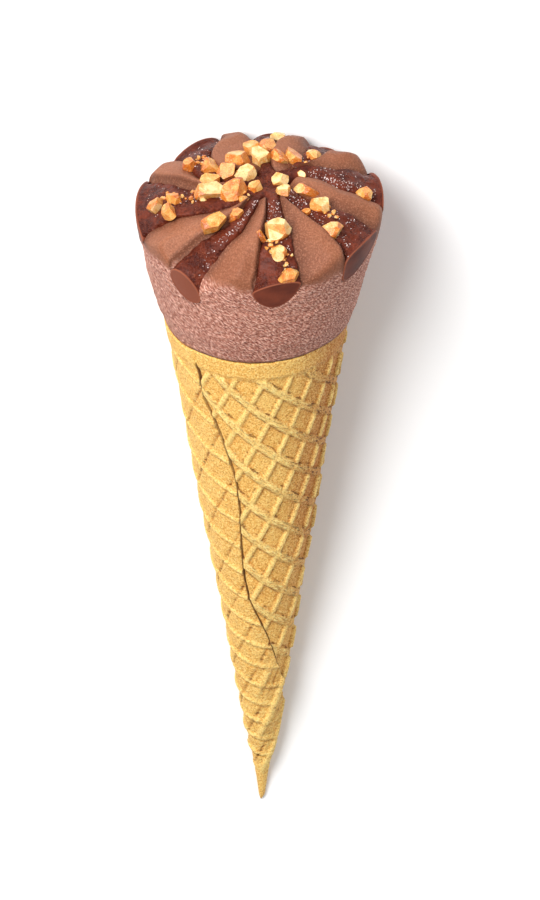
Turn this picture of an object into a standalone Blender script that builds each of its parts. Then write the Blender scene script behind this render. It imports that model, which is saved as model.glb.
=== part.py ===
"""Chocolate ice cream in a rolled wafer cone, lying on its back.

Three solids: the rolled wafer cone, the ice cream that fills it and stands
above its rim as a flaring head of eight petals, and the star of thick
chocolate sauce strands pressed between the petals.

The cone is modelled upright, its point at the origin, its axis along +Z and
its shown side towards -Y. An empty then lays it down on its back, the shown
side up and the head towards +Y, so that it touches the table with its point
and with the widest ring of the head.
"""
import math

import bmesh
import bpy
from mathutils import Vector

MM = 0.001

# Wafer cone.
WAFER_LENGTH = 143.0
WAFER_RIM_RADIUS = 21.6
WAFER_TIP_RADIUS = 0.5
WAFER_THICKNESS = 1.8
WAFER_SOLID_TIP = 16.0
SEAM_STEP = 0.4
SEAM_SLOPE = 1.5
RIM_BAND_HEIGHT = 4.2
RIM_BAND_PROUD = 0.25

# Waffle pits pressed into the sheet, laid out on the flat, unrolled sheet:
# direction across each family of ribs in degrees, rib spacing, and where one
# rib of the family lies. Left of the seam the pattern is pressed nearly flat.
RIBS = ((157.5, 6.27, 46.4), (46.0, 7.77, 77.3))
RIB_WIDTH = 1.4
PIT_DEPTH = 0.6
PIT_LOWEST = 38.0
SEAM_MARGIN = 28.0
PATTERN_END = 240.0

# Ice cream head above the rim.
RING_HEIGHT = 175.0
RING_RADIUS = 29.3
HEAD_BASE_RADIUS = 22.1
CROWN_HEIGHT = 6.4
PETAL_ROLL = 1.6
FIT_GAP = 0.3

# Sauce strands: azimuth from the shown side, turning to the right, and the
# width of each strand where it ends at the wall.
STRANDS = ((8, 11.0), (56, 10.9), (102, 9.6), (146, 8.6), (176, 9.6), (213, 12.0), (266, 13.4), (320, 10.4))
HUB_RADIUS = 4.4
STRAND_FACE_BOTTOM = -10.6

# Lying down.
LYING_ANGLE = math.radians(9.3)
REST_SINK = 0.4
CENTRE_SHIFT = (-0.1, -90.27)


def lerp_table(table, x):
    """Piecewise linear value of a short table of (x, value) pairs."""
    for (x0, y0), (x1, y1) in zip(table, table[1:]):
        if x <= x1:
            return y0 + (y1 - y0) * max(0.0, (x - x0) / (x1 - x0))
    return table[-1][1]


def around(radius, azimuth, height):
    """Point of the upright cone; azimuth 0 faces the shown side, -Y."""
    angle = math.radians(azimuth)
    return Vector((radius * math.sin(angle), -radius * math.cos(angle), height)) * MM


def collection(name, parent=None):
    made = bpy.data.collections.new(name)
    (parent or bpy.context.scene.collection).children.link(made)
    return made


def material(name, colour, roughness):
    made = bpy.data.materials.new(name)
    made.use_nodes = True
    shader = made.node_tree.nodes["Principled BSDF"]
    shader.inputs["Base Color"].default_value = (*colour, 1.0)
    shader.inputs["Roughness"].default_value = roughness
    shader.inputs["Metallic"].default_value = 0.0
    return made


def add_object(name, mesh, target, parent=None, paint=None, cutter=False):
    made = bpy.data.objects.new(name, mesh)
    made.parent = parent
    if paint:
        mesh.materials.append(paint)
    if cutter:
        made.hide_render = True
        made.display_type = "WIRE"
    target.objects.link(made)
    return made


def loft(mesh_name, rings, start, end):
    """Closed skin through rings of equal length, shut by a fan at each end."""
    bm = bmesh.new()
    add_loft(bm, rings, start, end)
    mesh = bpy.data.meshes.new(mesh_name)
    bm.to_mesh(mesh)
    bm.free()
    return mesh


def add_loft(bm, rings, start, end):
    first_face = len(bm.faces)
    rows = [[bm.verts.new(point) for point in ring] for ring in rings]
    count = len(rows[0])
    for low, high in zip(rows, rows[1:]):
        for k in range(count):
            after = (k + 1) % count
            bm.faces.new((low[k], low[after], high[after], high[k]))
    for row, apex, flip in ((rows[0], start, True), (rows[-1], end, False)):
        tip = bm.verts.new(apex)
        for k in range(count):
            after = (k + 1) % count
            corners = (row[after], row[k], tip) if flip else (row[k], row[after], tip)
            bm.faces.new(corners)
    bm.faces.ensure_lookup_table()
    bmesh.ops.recalc_face_normals(bm, faces=bm.faces[first_face:])
    bmesh.ops.triangulate(bm, faces=bm.faces[first_face:], quad_method="FIXED")


def boolean(target, name, operation, other=None, group=None):
    cut = target.modifiers.new(name, "BOOLEAN")
    cut.operation = operation
    cut.solver = "EXACT"
    if group:
        cut.operand_type = "COLLECTION"
        cut.collection = group
    else:
        cut.object = other
    return cut


# --- Wafer ------------------------------------------------------------------

SEAM_PATH = ((0, 72), (36, 72), (45, 38), (54, 13), (62, -7), (70, -18), (84, -20), (95, -19),
             (104, -20.5), (113, -26), (124, -35), (132, -42), (143, -45))


def seam_azimuth(height):
    return lerp_table(SEAM_PATH, height)


def wafer_radius(height):
    return WAFER_TIP_RADIUS + (WAFER_RIM_RADIUS - WAFER_TIP_RADIUS) * height / WAFER_LENGTH


def wafer_skin():
    """Outer skin of the rolled sheet: each ring starts and ends at the seam, one step apart."""
    band = WAFER_LENGTH - RIM_BAND_HEIGHT
    stations = [(0.25, 0.35)] + [(h, 0.0) for h in (2.5, 36, 40, 45, 50, 56, 62, 70, 84, 104, 124)]
    stations += [(band - 0.3, 0.0), (band, RIM_BAND_PROUD), (WAFER_LENGTH - 0.5, RIM_BAND_PROUD),
                 (WAFER_LENGTH, -0.15)]
    sides = 30
    rings = []
    for height, proud in stations:
        step = min(SEAM_STEP, 0.06 * height)
        ring = []
        for k in range(sides + 1):
            turn = k / sides * (1.0 - SEAM_SLOPE / 360.0)
            radius = wafer_radius(height) + proud + step * (turn - 0.5)
            ring.append(around(radius, seam_azimuth(height) + 360.0 * turn, height))
        rings.append(ring)
    return loft("wafer_cone", rings, around(0, 0, 0), around(0, 0, WAFER_LENGTH))


SHEET_ANGLE = math.atan(WAFER_RIM_RADIUS / WAFER_LENGTH)


def sheet_to_cone(across, along):
    """Point of the flat sheet to (azimuth, height) on the rolled cone."""
    slant = math.hypot(across, along)
    azimuth = math.degrees(math.atan2(across, along)) / math.sin(SHEET_ANGLE)
    return azimuth, slant * math.cos(SHEET_ANGLE)


def lattice_point(p, q):
    """Crossing of line p of the first rib family with line q of the second."""
    (a, spacing_a, offset_a), (b, spacing_b, offset_b) = RIBS
    ax, ay = math.cos(math.radians(a)), math.sin(math.radians(a))
    bx, by = math.cos(math.radians(b)), math.sin(math.radians(b))
    pa = offset_a + p * spacing_a
    pb = offset_b + q * spacing_b
    det = ax * by - ay * bx
    return (pa * by - pb * ay) / det, (ax * pb - bx * pa) / det


def add_pits(bm):
    """Pressed cells between the ribs, as closed blocks that dip into the sheet."""
    half_a = 0.5 * RIB_WIDTH / RIBS[0][1]
    half_b = 0.5 * RIB_WIDTH / RIBS[1][1]
    for i in range(-30, 31):
        for j in range(-30, 31):
            floor = []
            for p, q in ((i + half_a, j + half_b), (i + 1 - half_a, j + half_b),
                         (i + 1 - half_a, j + 1 - half_b), (i + half_a, j + 1 - half_b)):
                across, along = lattice_point(p, q)
                if along < -0.6 * abs(across):
                    break
                floor.append(sheet_to_cone(across, along))
            if len(floor) < 4:
                continue
            if any(h < PIT_LOWEST or h > WAFER_LENGTH - RIM_BAND_HEIGHT - 0.8 for _, h in floor):
                continue
            if any(az < seam_azimuth(h) + SEAM_MARGIN / wafer_radius(h) or az > PATTERN_END for az, h in floor):
                continue
            low = [around(wafer_radius(h) - PIT_DEPTH, az, h) for az, h in floor]
            high = [around(wafer_radius(h) + 1.6, az, h) for az, h in floor]
            add_block(bm, low, high)


def add_block(bm, low, high):
    bottom = [bm.verts.new(point) for point in low]
    top = [bm.verts.new(point) for point in high]
    count = len(bottom)
    faces = [bm.faces.new(bottom[::-1]), bm.faces.new(top)]
    for k in range(count):
        after = (k + 1) % count
        faces.append(bm.faces.new((bottom[k], bottom[after], top[after], top[k])))
    bmesh.ops.triangulate(bm, faces=faces, quad_method="FIXED")


# --- Head -------------------------------------------------------------------

WALL = ((WAFER_LENGTH, HEAD_BASE_RADIUS), (150, 23.9), (159, 26.1), (167, 27.9), (171, 28.7), (173.2, 29.1),
        (175, 29.2), (176.5, 28.8))
CROWN = ((0, 0.70), (3, 0.80), (6, 0.96), (10, 1.0), (14, 0.98), (18, 0.91), (22, 0.78), (25.4, 0.58),
         (27.6, 0.34), (28.8, 0.1))


def strand_half_width(radius, end_width):
    return lerp_table(((-2, 1.6), (3, 2.0), (8, 2.7), (15, 0.36 * end_width), (22, 0.45 * end_width),
                       (30, 0.5 * end_width)), radius)


def strand_top(radius):
    return lerp_table(((0, 4.6), (6, 5.0), (12, 5.0), (18, 4.2), (23, 2.5), (27, -0.6), (30, -3.2)), radius)


def strand_bottom(radius):
    return lerp_table(((0, -0.5), (8, -2.5), (15, -5.2), (22, -8.2), (29, STRAND_FACE_BOTTOM)), radius)


def strand_section(radius, end_width, grow, top_clear):
    """(sideways, height) points round one strand: low dome on top, deep rounded belly."""
    half = strand_half_width(radius, end_width) + grow
    dome = min(1.5, 0.3 * half)
    corner = strand_top(radius) - dome
    belly = corner - strand_bottom(radius) + grow
    points = []
    for k in range(12):
        angle = 2 * math.pi * (k + 0.5) / 12
        rise = math.sin(angle)
        if rise < 0:
            height = corner + belly * math.copysign(abs(rise) ** 0.9, rise)
        else:
            height = corner + dome * rise + top_clear * (1.0 if rise > 0 else 0.0)
        points.append((half * math.cos(angle), height))
    return points


def strand_mesh(name, azimuth, end_width, grow=0.0, top_clear=0.0, beyond=0.0):
    """One strand from behind the centre out to the wall, where its end lies in the wall."""
    rings = []
    for radius in (-1.0, 4.0, 9.0, 14.5, 20.0, 25.0):
        section = strand_section(radius, end_width, grow, top_clear)
        rings.append([(radius, t, z) for t, z in section])
    for further in (0.0, beyond)[:2 if beyond else 1]:
        end = []
        for t, z in strand_section(29.0, end_width, grow, top_clear):
            wall = lerp_table(WALL, RING_HEIGHT + min(z, 0.0)) + further
            end.append((math.sqrt(wall * wall - t * t), t, z))
        rings.append(end)

    def place(point):
        radius, t, z = point
        angle = math.radians(azimuth)
        out = Vector((math.sin(angle), -math.cos(angle), 0))
        side = Vector((math.cos(angle), math.sin(angle), 0))
        return (out * radius + side * t + Vector((0, 0, RING_HEIGHT + z))) * MM

    def middle(ring):
        return tuple(sum(values) / len(ring) for values in zip(*ring))

    placed = [[place(point) for point in ring] for ring in rings]
    return loft(name, placed, place(middle(rings[0])), place(middle(rings[-1])))


def hub_mesh(name, grow=0.0, top_clear=0.0):
    """Flattened ball of sauce where the strands meet."""
    bm = bmesh.new()
    bmesh.ops.create_uvsphere(bm, u_segments=16, v_segments=8, radius=1.0)
    for vert in bm.verts:
        tall = 2.9 + grow + (top_clear if vert.co.z > 0.3 else 0.0)
        vert.co = Vector((vert.co.x * (HUB_RADIUS + grow), vert.co.y * (HUB_RADIUS + grow), vert.co.z * tall)) * MM
        vert.co.z += (RING_HEIGHT + 2.2) * MM
    mesh = bpy.data.meshes.new(name)
    bm.to_mesh(mesh)
    bm.free()
    return mesh


def edge_distance(radius, azimuth):
    """Distance in millimetres from a point of the crown to the nearest strand's edge."""
    nearest = 99.0
    for strand, end_width in STRANDS:
        turn = math.radians((azimuth - strand + 180.0) % 360.0 - 180.0)
        if abs(turn) < math.pi / 2:
            nearest = min(nearest, abs(radius * math.sin(turn)) - strand_half_width(radius, end_width))
    return nearest


def ice_cream_mesh():
    """Plug inside the wafer, flaring wall, and a crown whose petals roll down towards the strands."""
    inner = WAFER_THICKNESS + FIT_GAP + 0.2
    sides = 52
    stations = []
    for height in (24, 84, WAFER_LENGTH + FIT_GAP):
        stations.append((wafer_radius(height) - inner, height, 0.0))
    for height, radius in WALL[:6]:
        stations.append((radius, max(height, WAFER_LENGTH + FIT_GAP + 0.05), 0.0))
    stations.append((WALL[6][1], WALL[6][0], 0.25))
    for radius, part in reversed(CROWN[1:]):
        stations.append((radius, RING_HEIGHT + 0.4 + (CROWN_HEIGHT - 0.4) * part, 1.0))
    rings = []
    for radius, height, petal in stations:
        ring = []
        for k in range(sides):
            azimuth = 360.0 * k / sides
            near = max(0.0, edge_distance(radius, azimuth))
            roll = PETAL_ROLL * petal * math.exp(-(near / 1.9) ** 2)
            ring.append(around(radius, azimuth, height - roll))
        rings.append(ring)
    top = RING_HEIGHT + CROWN_HEIGHT * CROWN[0][1] - PETAL_ROLL
    return loft("ice_cream", rings, around(0, 0, 18.0), around(0, 0, top))


for old in list(bpy.data.objects):
    bpy.data.objects.remove(old)

parts = collection("ice_cream_cone")
cutters = collection("cutters")
strand_bodies = collection("strand_bodies", cutters)
strand_spaces = collection("strand_spaces", cutters)

lying = bpy.data.objects.new("lying_pose", None)
lying.rotation_euler = (LYING_ANGLE - math.pi / 2, 0, 0)
lying.location.xy = (CENTRE_SHIFT[0] * MM, CENTRE_SHIFT[1] * MM)
parts.objects.link(lying)

# The table takes a thin slice off whatever would sink into it, which leaves small flat spots to rest on.
lying.location.z = (RING_RADIUS * math.cos(LYING_ANGLE) - RING_HEIGHT * math.sin(LYING_ANGLE) - REST_SINK) * MM
floor_bm = bmesh.new()
bmesh.ops.create_cube(floor_bm, size=1.0)
floor_mesh = bpy.data.meshes.new("table_cut")
floor_bm.to_mesh(floor_mesh)
floor_bm.free()
floor_cut = add_object("table_cut", floor_mesh, cutters, cutter=True)
floor_cut.scale = (0.3, 0.4, 0.05)
floor_cut.location = (0, 0, -0.025)

# The wafer: a golden rolled sheet, hollow down to its solid point.
wafer = add_object("wafer_cone", wafer_skin(), parts, lying, material("baked_wafer", (0.78, 0.50, 0.19), 0.6))

hollow_height = WAFER_LENGTH + 5.0 - WAFER_SOLID_TIP
hollow_low = wafer_radius(WAFER_SOLID_TIP) - WAFER_THICKNESS
hollow_high = wafer_radius(WAFER_LENGTH + 5.0) - WAFER_THICKNESS
hollow_bm = bmesh.new()
bmesh.ops.create_cone(hollow_bm, cap_ends=True, cap_tris=False, segments=44, radius1=hollow_low * MM,
                      radius2=hollow_high * MM, depth=hollow_height * MM)
hollow_mesh = bpy.data.meshes.new("wafer_hollow")
hollow_bm.to_mesh(hollow_mesh)
hollow_bm.free()
hollow = add_object("wafer_hollow", hollow_mesh, cutters, lying, cutter=True)
hollow.location.z = (WAFER_SOLID_TIP + hollow_height / 2) * MM
boolean(wafer, "rest_flat", "DIFFERENCE", other=floor_cut)
boolean(wafer, "hollow", "DIFFERENCE", other=hollow)

pits_bm = bmesh.new()
add_pits(pits_bm)
bmesh.ops.recalc_face_normals(pits_bm, faces=pits_bm.faces)
pits_mesh = bpy.data.meshes.new("waffle_pits")
pits_bm.to_mesh(pits_mesh)
pits_bm.free()
pits = add_object("waffle_pits", pits_mesh, cutters, lying, cutter=True)
boolean(wafer, "waffle_pits", "DIFFERENCE", other=pits)

# The sauce: eight strands joined at a hub.
for number, (turn_to, face_width) in enumerate(STRANDS):
    body = strand_mesh("strand_%d" % number, turn_to, face_width)
    strand = add_object("strand_%d" % number, body, strand_bodies, lying, cutter=True)
    boolean(strand, "rest_flat", "DIFFERENCE", other=floor_cut)
    space = strand_mesh("strand_space_%d" % number, turn_to, face_width, FIT_GAP, 9.0, 4.0)
    add_object("strand_space_%d" % number, space, strand_spaces, lying, cutter=True)
sauce = add_object("chocolate_sauce", hub_mesh("chocolate_sauce"), parts, lying,
                   material("dark_chocolate", (0.075, 0.022, 0.012), 0.28))
boolean(sauce, "strands", "UNION", group=strand_bodies)

# The ice cream, with room for the sauce cut out of it.
ice_cream = add_object("ice_cream", ice_cream_mesh(), parts, lying,
                       material("chocolate_ice_cream", (0.42, 0.20, 0.13), 0.6))
add_object("hub_space", hub_mesh("hub_space", FIT_GAP, 9.0), strand_spaces, lying, cutter=True)
boolean(ice_cream, "rest_flat", "DIFFERENCE", other=floor_cut)
boolean(ice_cream, "sauce_room", "DIFFERENCE", group=strand_spaces)

for piece in (wafer, sauce, ice_cream):
    piece.data.shade_smooth()
    piece.data.set_sharp_from_angle(angle=math.radians(35))
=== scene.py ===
import math
import random

import bmesh
import bpy
import numpy as np
from mathutils import Euler, Matrix, Vector
from mathutils.bvhtree import BVHTree


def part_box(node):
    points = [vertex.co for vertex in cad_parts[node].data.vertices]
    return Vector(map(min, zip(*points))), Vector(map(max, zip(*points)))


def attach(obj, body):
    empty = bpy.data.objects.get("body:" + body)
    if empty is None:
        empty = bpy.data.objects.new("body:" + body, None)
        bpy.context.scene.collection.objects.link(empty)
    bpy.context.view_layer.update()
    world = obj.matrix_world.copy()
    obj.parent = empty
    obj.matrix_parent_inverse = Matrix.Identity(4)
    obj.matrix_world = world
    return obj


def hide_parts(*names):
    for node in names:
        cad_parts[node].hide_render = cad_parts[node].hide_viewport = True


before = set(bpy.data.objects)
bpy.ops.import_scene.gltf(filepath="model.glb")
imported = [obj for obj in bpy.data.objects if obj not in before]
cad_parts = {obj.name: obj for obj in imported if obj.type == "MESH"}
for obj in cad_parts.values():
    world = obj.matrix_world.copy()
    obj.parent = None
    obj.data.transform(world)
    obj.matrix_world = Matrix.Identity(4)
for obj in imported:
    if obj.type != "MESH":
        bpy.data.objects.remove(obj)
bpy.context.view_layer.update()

# --- The wafer cone ---------------------------------------------------------
# A thin sheet of sweet batter, baked golden in a waffle iron and rolled into
# a cone while hot. The sheet's free edge runs round the cone as a dark seam;
# right of it the waffle ribs stand crisp, left of it they are pressed flat.

MM = 0.001
# Lengths are in mm. The cone lies on its point and on the widest ring of its head, settled in by a little.
LYING_ANGLE = math.radians(9.3)
RING_HEIGHT = 175.0
RING_RADIUS = 29.3
REST_SINK = 0.4
wafer_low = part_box("wafer_cone")[0]
POINT = (-0.1, wafer_low[1] / MM,
         RING_RADIUS * math.cos(LYING_ANGLE) - RING_HEIGHT * math.sin(LYING_ANGLE) - REST_SINK)
AXIS = Vector((0, math.cos(LYING_ANGLE), math.sin(LYING_ANGLE)))


def laid(height, radius, azimuth):
    """Where a place on the upright cone lies, in metres, from its height up the axis, its distance from it
    and its degrees to the right of the shown side."""
    turn = np.radians(azimuth)
    front = radius * np.cos(turn)
    across = POINT[0] + radius * np.sin(turn)
    along = POINT[1] + height * math.cos(LYING_ANGLE) - front * math.sin(LYING_ANGLE)
    up = POINT[2] + height * math.sin(LYING_ANGLE) + front * math.cos(LYING_ANGLE)
    return np.stack([across, along, np.maximum(up, 0.0)], axis=-1) * MM


def lumps(x, y, z, size, seed):
    """Smooth random field from -1 to 1 with lumps of the given size, from a grid of values that repeats."""
    cells = 32
    px, py, pz = np.asarray(x) / size, np.asarray(y) / size, np.asarray(z) / size
    ix, iy, iz = np.floor(px).astype(int), np.floor(py).astype(int), np.floor(pz).astype(int)
    fx, fy, fz = px - ix, py - iy, pz - iz
    fx, fy, fz = (f * f * (3 - 2 * f) for f in (fx, fy, fz))
    table = np.random.default_rng(seed).uniform(-1, 1, (cells, cells, cells))

    def corner(dx, dy, dz):
        return table[(ix + dx) % cells, (iy + dy) % cells, (iz + dz) % cells]

    def lerp(a, b, f):
        return a + (b - a) * f

    low = lerp(lerp(corner(0, 0, 0), corner(1, 0, 0), fx), lerp(corner(0, 1, 0), corner(1, 1, 0), fx), fy)
    high = lerp(lerp(corner(0, 0, 1), corner(1, 0, 1), fx), lerp(corner(0, 1, 1), corner(1, 1, 1), fx), fy)
    return lerp(low, high, fz)


def rough(x, y, z, layers):
    """Layers of lumps together, each with how high it is, how wide, and its draw."""
    return sum(height * lumps(x, y, z, size, seed) for height, size, seed in layers)


def smooth(x, low, high):
    """Smooth step from 0 at low to 1 at high."""
    f = np.clip((x - low) / (high - low), 0.0, 1.0)
    return f * f * (3 - 2 * f)


def finish_piece(name, mesh, finish, node=None):
    """Bring in a mesh in its finish, riding on the body, and in place of its CAD node if it has one."""
    piece = bpy.data.objects.new(name, mesh)
    bpy.context.scene.collection.objects.link(piece)
    mesh.materials.append(finish)
    mesh.shade_smooth()
    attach(piece, "root")
    if node:
        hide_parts(node)
    return piece


def round_skin(name, points, fields):
    """Mesh from rings of points, each a closed loop, with a fan at both ends and values at its points."""
    rows, columns = points.shape[:2]
    ids = np.arange(rows * columns).reshape(rows, columns)
    after = np.roll(ids, -1, axis=1)
    quads = np.stack([ids[:-1], after[:-1], after[1:], ids[1:]], axis=-1).reshape(-1, 4)
    ends = points[[0, -1]].mean(axis=1)
    vertices = np.concatenate([points.reshape(-1, 3), ends])
    first, last = rows * columns, rows * columns + 1
    faces = quads.tolist()
    faces += [(ids[0, (k + 1) % columns], ids[0, k], first) for k in range(columns)]
    faces += [(ids[-1, k], ids[-1, (k + 1) % columns], last) for k in range(columns)]
    mesh = bpy.data.meshes.new(name)
    mesh.from_pydata(vertices.tolist(), [], faces)
    for field, values in fields.items():
        layer = mesh.attributes.new(field, "FLOAT", "POINT")
        layer.data.foreach_set("value", np.concatenate([values.ravel(), values[0, :1], values[-1, :1]]))
    mesh.update()
    return mesh


WAFER_LENGTH = 143.0
WAFER_RIM_RADIUS = 21.6
WAFER_TIP_RADIUS = 0.5
SHEET_ANGLE = math.atan(WAFER_RIM_RADIUS / WAFER_LENGTH)
FULL_TURN = 360.0
# The seam's path, in mm up the cone and degrees round it from the shown side.
SEAM_HEIGHTS = (0, 12, 24, 38, 45, 51, 57, 62, 67, 73, 84, 95, 104, 113, 119, 124, 129, 132, 136, 143)
SEAM_TURNS = (225, 165, 111, 58, 34, 19.5, 6, -6, -15, -20,
              -21, -19.5, -20.5, -26, -31, -35.5, -42, -43, -43, -46)
# How far the cone stands out to its left, at these heights.
SWAY_HEIGHTS = (0, 50, 110, 143, 155, 164, 169, 174, 178)
SWAYS = (-0.3, 0, 0.6, 0.8, 0.8, 0.7, 0.45, 0.25, 0)
# How much higher than at the back the rim was cut, at these degrees round it.
RISE_TURNS = (-75, -53, -38, 0, 42, 62, 90, 150)
RIM_RISES = (0, 0.4, 0.9, 1.2, 1.7, 1.5, 1.0, 0)
RIB_DEPTH = 0.66
RIB_GROOVE = 0.36
PRESSED_DEPTH = 0.48
CREASE_DEPTH = 0.44
BAND_PROUD = 0.24
# Up and in from the rim's outer edge over its cut edge and down inside the wafer.
RIM_STEPS = ((0.12, 0.12), (0.16, 0.5), (0.1, 1.0), (-0.1, 1.55), (-0.6, 1.75), (-5.0, 2.4))
# Each family of lines on the flat sheet: the way across it in degrees, the spacing at the tip and how it
# grows, the first line, and the half widths of a rib's top and foot.
STEEP_RIBS = (157.5, 6.27, 1e-6, 7.4003, 0.40, 0.85)
FLAT_RIBS = (46.0, 7.77, 1e-6, 9.9485, 0.85, 1.35)
CREASES = (160.0, 4.355, 0.01843, 0.220, 0.25, 0.6)
PRESSED_RIBS = (72.0, 4.418, 0.01006, 0.142, 0.3, 0.75)


def wafer_radius(height):
    return WAFER_TIP_RADIUS + (WAFER_RIM_RADIUS - WAFER_TIP_RADIUS) * height / WAFER_LENGTH


def sway(height, azimuth):
    """How far the cone stands out on one side, because one rolled by hand is never quite straight."""
    return -np.interp(height, SWAY_HEIGHTS, SWAYS) * np.sin(np.radians(azimuth))


def rim_rise(azimuth):
    """How much higher than at the back the wafer's rim is, which is most on its right front."""
    around = (np.asarray(azimuth) + 105.0) % FULL_TURN - 105.0
    return np.interp(around, RISE_TURNS, RIM_RISES)


def on_sheet(height, azimuth):
    """Place across and along the flat sheet, from the corner that became the point."""
    slant = height / math.cos(SHEET_ANGLE)
    opened = np.radians(azimuth) * math.sin(SHEET_ANGLE)
    return slant * np.sin(opened), slant * np.cos(opened)


def lines(family, height, azimuth):
    """How far a place is up a rib (0 to 1), how far from the rib's middle line, and the spacing there."""
    direction, spacing, growth, first, top, foot = family
    across, along = on_sheet(height, azimuth)
    angle = math.radians(direction)
    place = across * math.cos(angle) + along * math.sin(angle)
    count = np.log1p(growth * place) / (growth * spacing) - first
    gap = spacing * (1 + growth * place)
    away = (count - np.round(count)) * gap
    return 1 - smooth(np.abs(away), top, foot), away, gap


def ridge(distance, half_width):
    """1 on a line, fading to 0 over about the half width beside it."""
    return np.exp(-(distance / half_width) ** 2)


def wafer_mesh():
    # Degrees on from the seam, and heights, closest together beside the seam and at the rim.
    from_seam = np.concatenate([[0.0, 0.4, 0.8, 1.3], np.arange(2.0, 150, 0.9), np.arange(150, 252, 2.6),
                                np.arange(252, 358.2, 0.95), [358.7, 359.2, 359.6]])
    heights = np.concatenate([[0.05, 0.35, 0.8, 1.4], np.arange(2.0, 137.4, 0.52),
                              np.arange(137.5, WAFER_LENGTH + 0.01, 0.34)])
    height, offset = np.meshgrid(heights, from_seam, indexing="ij")
    azimuth = np.interp(height, SEAM_HEIGHTS, SEAM_TURNS) + offset
    radius = wafer_radius(height)
    beside_seam = np.radians(np.minimum(offset, FULL_TURN - offset)) * radius
    x, y, z = (laid(height, radius, azimuth) / MM).transpose(2, 0, 1)
    sheet_x, sheet_y = on_sheet(height, azimuth)
    level = np.zeros_like(height)
    run = math.radians(FLAT_RIBS[0])
    over_rib = sheet_x * math.cos(run) + sheet_y * math.sin(run)
    along_rib = sheet_y * math.cos(run) - sheet_x * math.sin(run)
    torn = lumps(along_rib * 0.4, over_rib, level, 0.7, 8)
    worn = lumps(along_rib * 0.5, over_rib, level, 3.2, 9)

    # Where the ribs are crisp, where there are any, and how far round to the right a place is.
    crisp = 1 - smooth(azimuth, 238.0, 252.0)
    band_foot = height + 0.5 * lumps(sheet_x, sheet_y, level, 3.0, 7)
    clear = smooth(height, 3.0, 16.0) * (1 - smooth(band_foot, 137.6, 138.8))
    crisp_part = crisp * clear
    pressed_part = (1 - crisp) * clear
    turned = smooth(azimuth, 8.0, 48.0)
    right = smooth(azimuth, 35.0, 80.0)

    # The crisp ribs: the flat family is worn along its top and the steep one dips where it crosses it.
    steep, steep_away, _ = lines(STEEP_RIBS, height, azimuth)
    flat, flat_away, _ = lines(FLAT_RIBS, height, azimuth)
    flat_rib = flat * np.clip(0.86 + 0.20 * torn + 0.22 * worn, 0.3, 1.1)
    flat_rib *= 1 - 0.35 * turned - 0.25 * right
    steep_rib = steep * (0.96 + 0.10 * lumps(sheet_x, sheet_y, level, 2.0, 10))
    steep_rib *= 1 - (0.3 + 0.6 * right) * flat
    crisp_rib = np.maximum(steep_rib, flat_rib) * crisp_part
    strength = 0.9 + 0.2 * lumps(x, y, z, 7.0, 4)
    relief = crisp_part * ((RIB_DEPTH + 0.44 * right) * strength * crisp_rib - RIB_GROOVE)

    # The pressed ones: low ribs one way and creases the other, standing higher near the point.
    _, crease_away, crease_gap = lines(CREASES, height, azimuth - FULL_TURN)
    pressed, pressed_away, _ = lines(PRESSED_RIBS, height, azimuth - FULL_TURN)
    pressed = pressed * np.clip(0.9 + 0.4 * worn, 0.3, 1.0)
    risen = smooth(height, 50.0, 38.0) * smooth(azimuth - FULL_TURN, -20.0, 12.0)
    between_creases = (1 - smooth(crease_gap / 2 - np.abs(crease_away), 0.45, 0.95)) * risen
    pressed_rib = np.maximum(between_creases, pressed * (1 - 0.5 * risen)) * pressed_part
    creased = ridge(crease_away, 0.28) * np.clip(0.75 + 0.7 * worn, 0, 1)
    creased = creased * (1 - 0.75 * pressed) * (1 - 0.3 * risen)
    creased = np.maximum(creased, 0.35 * ridge(pressed_away + 0.95, 0.3))
    relief += pressed_part * ((PRESSED_DEPTH + 0.3 * risen) * pressed_rib - 0.14 - CREASE_DEPTH * creased)
    relief += BAND_PROUD * smooth(height, 138.3, 139.1)

    # The seam: a crack beside the sheet's free edge, and a notch where it meets the plain band.
    crack = ridge(beside_seam, 0.13) * smooth(height, 26.0, 36.0) * (1 - smooth(height, 139.0, 140.0))
    crack *= 1 - 0.8 * ridge(height - 131.0, 1.6)
    broken = np.clip(0.8 + 0.5 * lumps(x, y, z, 5.0, 5), 0.4, 1.0)
    notch = ridge(beside_seam, 0.2) * smooth(height, 133.5, 135.0) * (1 - smooth(height, 138.6, 139.4))
    step = np.minimum(0.4, 0.06 * height) * (offset / FULL_TURN - 0.5)
    uneven = rough(x, y, z, ((0.18, 11.0, 1), (0.06, 3.1, 2), (0.045, 0.8, 3)))
    rounded = np.sqrt(np.clip(height / 1.6, 0, 1))
    radius = radius * rounded + sway(height, azimuth) * rounded + step + relief
    radius += uneven * smooth(height, 1.0, 6.0) - 0.5 * crack * broken - 0.18 * notch

    ragged = rough(x, y, level, ((0.34, 5.0, 6), (0.22, 1.3, 66), (0.10, 0.6, 67)))
    rise = height + ragged * smooth(height, 140.0, WAFER_LENGTH)
    rise += rim_rise(azimuth) * smooth(height, 135.0, WAFER_LENGTH)
    inward = [laid(rise[-1] + up, radius[-1] - inset, azimuth[-1]) for up, inset in RIM_STEPS]
    points = np.concatenate([laid(rise, radius, azimuth), np.array(inward)])

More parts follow.
